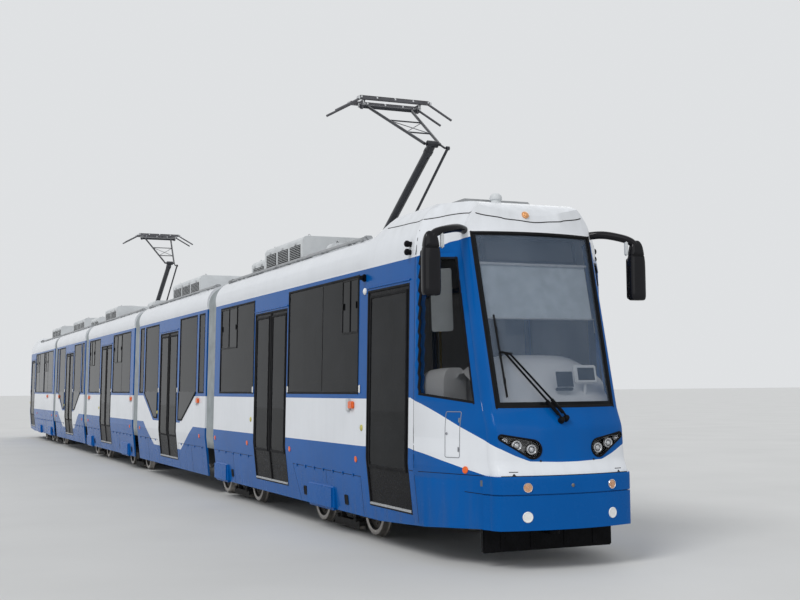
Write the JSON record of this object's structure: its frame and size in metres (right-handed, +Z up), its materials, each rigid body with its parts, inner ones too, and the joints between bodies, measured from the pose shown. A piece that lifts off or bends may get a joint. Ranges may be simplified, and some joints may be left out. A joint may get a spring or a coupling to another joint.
{
  "type": "five-section articulated tram",
  "caption": "Articulated city tram of five sections joined by gangway bellows, with doors on its right side, a driver's cab at the front and current collectors on the roof.",
  "frame": {"origin": "middle of the tram's length and width, at the height of the wheel flanges", "axes": "+X forward towards the cab, +Y to the tram's left, +Z up"},
  "size_m": [39.7484, 2.77, 5.8273],
  "materials": {
    "body_paint": "bright blue enamel with white bands",
    "bumper_paint": "bright blue enamel",
    "window_glass": "dark tinted safety glass",
    "door_black": "black door frames",
    "interior_grey": "grey floor and seats",
    "roof_grey": "light grey roof equipment",
    "bellows_grey": "light grey folded rubber cloth",
    "bogie_steel": "dark painted frame",
    "wheel_steel": "worn steel",
    "collector_black": "black painted tube",
    "collector_head": "steel horns and carbon strips",
    "lamp_black": "black lamp housing",
    "mirror_black": "black mirror housings"
  },
  "bodies": {
    "car_a": {"shell_a": "body_paint", "glazing_a": "window_glass", "doors_a": "door_black", "interior_a": "interior_grey", "roof_gear_a": "roof_grey", "bellows_a": "bellows_grey", "cab": "interior_grey", "bumper_front": "bumper_paint", "headlamps": "lamp_black", "mirrors": "mirror_black"},
    "car_b": {"shell_b": "body_paint", "glazing_b": "window_glass", "doors_b": "door_black", "interior_b": "interior_grey", "roof_gear_b": "roof_grey", "bellows_b": "bellows_grey"},
    "car_c": {"shell_c": "body_paint", "glazing_c": "window_glass", "doors_c": "door_black", "interior_c": "interior_grey", "roof_gear_c": "roof_grey", "bellows_c": "bellows_grey"},
    "car_d": {"shell_d": "body_paint", "glazing_d": "window_glass", "doors_d": "door_black", "interior_d": "interior_grey", "roof_gear_d": "roof_grey", "bellows_d": "bellows_grey"},
    "car_e": {"shell_e": "body_paint", "glazing_e": "window_glass", "doors_e": "door_black", "interior_e": "interior_grey", "roof_gear_e": "roof_grey", "bumper_rear": "bumper_paint"},
    "bogie_1": {"bogie_1_frame": "bogie_steel"},
    "bogie_1_wheels_front": {"bogie_1_wheels_front": "wheel_steel"},
    "bogie_1_wheels_rear": {"bogie_1_wheels_rear": "wheel_steel"},
    "bogie_2": {"bogie_2_frame": "bogie_steel"},
    "bogie_2_wheels_front": {"bogie_2_wheels_front": "wheel_steel"},
    "bogie_2_wheels_rear": {"bogie_2_wheels_rear": "wheel_steel"},
    "bogie_3": {"bogie_3_frame": "bogie_steel"},
    "bogie_3_wheels_front": {"bogie_3_wheels_front": "wheel_steel"},
    "bogie_3_wheels_rear": {"bogie_3_wheels_rear": "wheel_steel"},
    "bogie_4": {"bogie_4_frame": "bogie_steel"},
    "bogie_4_wheels_front": {"bogie_4_wheels_front": "wheel_steel"},
    "bogie_4_wheels_rear": {"bogie_4_wheels_rear": "wheel_steel"},
    "bogie_5": {"bogie_5_frame": "bogie_steel"},
    "bogie_5_wheels_front": {"bogie_5_wheels_front": "wheel_steel"},
    "bogie_5_wheels_rear": {"bogie_5_wheels_rear": "wheel_steel"},
    "bogie_6": {"bogie_6_frame": "bogie_steel"},
    "bogie_6_wheels_front": {"bogie_6_wheels_front": "wheel_steel"},
    "bogie_6_wheels_rear": {"bogie_6_wheels_rear": "wheel_steel"},
    "collector_a_lower_arm": {"collector_a_lower_arm": "collector_black"},
    "collector_a_upper_frame": {"collector_a_upper_frame": "collector_black"},
    "collector_a_head": {"collector_a_head": "collector_head"},
    "collector_a_rod": {"collector_a_rod": "collector_black"},
    "collector_c_lower_arm": {"collector_c_lower_arm": "collector_black"},
    "collector_c_upper_frame": {"collector_c_upper_frame": "collector_black"},
    "collector_c_head": {"collector_c_head": "collector_head"},
    "collector_c_rod": {"collector_c_rod": "collector_black"}
  },
  "joints": [
    {"name": "articulation_bc", "type": "hinge", "parent": "car_c", "child": "car_b", "pos_m": [2.95, 0, 0.8], "axis": [0, 0, 1], "range_deg": [-18, 18], "deforming": ["bellows_b"]},
    {"name": "articulation_ab", "type": "hinge", "parent": "car_b", "child": "car_a", "pos_m": [9.75, 0, 0.8], "axis": [0, 0, 1], "range_deg": [-18, 18], "deforming": ["bellows_a"]},
    {"name": "articulation_cd", "type": "hinge", "parent": "car_c", "child": "car_d", "pos_m": [-4.45, 0, 0.8], "axis": [0, 0, 1], "range_deg": [-18, 18], "deforming": ["bellows_c"]},
    {"name": "articulation_de", "type": "hinge", "parent": "car_d", "child": "car_e", "pos_m": [-11.25, 0, 0.8], "axis": [0, 0, 1], "range_deg": [-18, 18], "deforming": ["bellows_d"]},
    {"name": "bogie_1_yaw", "type": "hinge", "parent": "car_a", "child": "bogie_1", "pos_m": [15.5, 0, 0.76], "axis": [0, 0, 1], "range_deg": [-8, 8]},
    {"name": "bogie_1_axle_front", "type": "hinge", "parent": "bogie_1", "child": "bogie_1_wheels_front", "pos_m": [16.45, 0, 0.352], "axis": [0, 1, 0], "continuous": true},
    {"name": "bogie_1_axle_rear", "type": "hinge", "parent": "bogie_1", "child": "bogie_1_wheels_rear", "pos_m": [14.55, 0, 0.352], "axis": [0, 1, 0], "continuous": true},
    {"name": "bogie_2_yaw", "type": "hinge", "parent": "car_a", "child": "bogie_2", "pos_m": [10.45, 0, 0.76], "axis": [0, 0, 1], "range_deg": [-8, 8]},
    {"name": "bogie_2_axle_front", "type": "hinge", "parent": "bogie_2", "child": "bogie_2_wheels_front", "pos_m": [11.4, 0, 0.352], "axis": [0, 1, 0], "continuous": true},
    {"name": "bogie_2_axle_rear", "type": "hinge", "parent": "bogie_2", "child": "bogie_2_wheels_rear", "pos_m": [9.5, 0, 0.352], "axis": [0, 1, 0], "continuous": true},
    {"name": "bogie_3_yaw", "type": "hinge", "parent": "car_c", "child": "bogie_3", "pos_m": [1.6, 0, 0.76], "axis": [0, 0, 1], "range_deg": [-8, 8]},
    {"name": "bogie_3_axle_front", "type": "hinge", "parent": "bogie_3", "child": "bogie_3_wheels_front", "pos_m": [2.55, 0, 0.352], "axis": [0, 1, 0], "continuous": true},
    {"name": "bogie_3_axle_rear", "type": "hinge", "parent": "bogie_3", "child": "bogie_3_wheels_rear", "pos_m": [0.65, 0, 0.352], "axis": [0, 1, 0], "continuous": true},
    {"name": "bogie_4_yaw", "type": "hinge", "parent": "car_c", "child": "bogie_4", "pos_m": [-3.75, 0, 0.76], "axis": [0, 0, 1], "range_deg": [-8, 8]},
    {"name": "bogie_4_axle_front", "type": "hinge", "parent": "bogie_4", "child": "bogie_4_wheels_front", "pos_m": [-2.8, 0, 0.352], "axis": [0, 1, 0], "continuous": true},
    {"name": "bogie_4_axle_rear", "type": "hinge", "parent": "bogie_4", "child": "bogie_4_wheels_rear", "pos_m": [-4.7, 0, 0.352], "axis": [0, 1, 0], "continuous": true},
    {"name": "bogie_5_yaw", "type": "hinge", "parent": "car_e", "child": "bogie_5", "pos_m": [-12.6, 0, 0.76], "axis": [0, 0, 1], "range_deg": [-8, 8]},
    {"name": "bogie_5_axle_front", "type": "hinge", "parent": "bogie_5", "child": "bogie_5_wheels_front", "pos_m": [-11.65, 0, 0.352], "axis": [0, 1, 0], "continuous": true},
    {"name": "bogie_5_axle_rear", "type": "hinge", "parent": "bogie_5", "child": "bogie_5_wheels_rear", "pos_m": [-13.55, 0, 0.352], "axis": [0, 1, 0], "continuous": true},
    {"name": "bogie_6_yaw", "type": "hinge", "parent": "car_e", "child": "bogie_6", "pos_m": [-15.5, 0, 0.76], "axis": [0, 0, 1], "range_deg": [-8, 8]},
    {"name": "bogie_6_axle_front", "type": "hinge", "parent": "bogie_6", "child": "bogie_6_wheels_front", "pos_m": [-14.55, 0, 0.352], "axis": [0, 1, 0], "continuous": true},
    {"name": "bogie_6_axle_rear", "type": "hinge", "parent": "bogie_6", "child": "bogie_6_wheels_rear", "pos_m": [-16.45, 0, 0.352], "axis": [0, 1, 0], "continuous": true},
    {"name": "collector_a_lift", "type": "hinge", "parent": "car_a", "child": "collector_a_lower_arm", "pos_m": [14.75, 0, 3.88], "axis": [0, 1, 0], "range_deg": [-12, 27]},
    {"name": "collector_a_knee", "type": "hinge", "parent": "collector_a_lower_arm", "child": "collector_a_upper_frame", "pos_m": [16.55005, 0, 4.96158], "axis": [0, 1, 0], "range_deg": [-51.1, 22.7]},
    {"name": "collector_a_head_pivot", "type": "hinge", "parent": "collector_a_upper_frame", "child": "collector_a_head", "pos_m": [15.14796, 0, 5.73239], "axis": [0, 1, 0], "range_deg": [-10.8, 24.1]},
    {"name": "collector_a_rod_pivot", "type": "hinge", "parent": "car_a", "child": "collector_a_rod", "pos_m": [15.168, 0.152, 3.856], "axis": [0, 1, 0], "range_deg": [-13.1, 29.5]},
    {"name": "collector_c_lift", "type": "hinge", "parent": "car_c", "child": "collector_c_lower_arm", "pos_m": [-0.75, 0, 3.88], "axis": [0, 1, 0], "range_deg": [-12, 27]},
    {"name": "collector_c_knee", "type": "hinge", "parent": "collector_c_lower_arm", "child": "collector_c_upper_frame", "pos_m": [1.05005, 0, 4.96158], "axis": [0, 1, 0], "range_deg": [-51.1, 22.7]},
    {"name": "collector_c_head_pivot", "type": "hinge", "parent": "collector_c_upper_frame", "child": "collector_c_head", "pos_m": [-0.35204, 0, 5.73239], "axis": [0, 1, 0], "range_deg": [-10.8, 24.1]},
    {"name": "collector_c_rod_pivot", "type": "hinge", "parent": "car_c", "child": "collector_c_rod", "pos_m": [-0.332, 0.152, 3.856], "axis": [0, 1, 0], "range_deg": [-13.1, 29.5]}
  ],
  "couplings": [
    {"joint": "collector_a_knee", "follows": "collector_a_lift", "ratio": -1.889},
    {"joint": "collector_a_head_pivot", "follows": "collector_a_lift", "ratio": 0.889},
    {"joint": "collector_a_rod_pivot", "follows": "collector_a_lift", "ratio": 1.0886},
    {"joint": "collector_c_knee", "follows": "collector_c_lift", "ratio": -1.889},
    {"joint": "collector_c_head_pivot", "follows": "collector_c_lift", "ratio": 0.889},
    {"joint": "collector_c_rod_pivot", "follows": "collector_c_lift", "ratio": 1.0886}
  ]
}
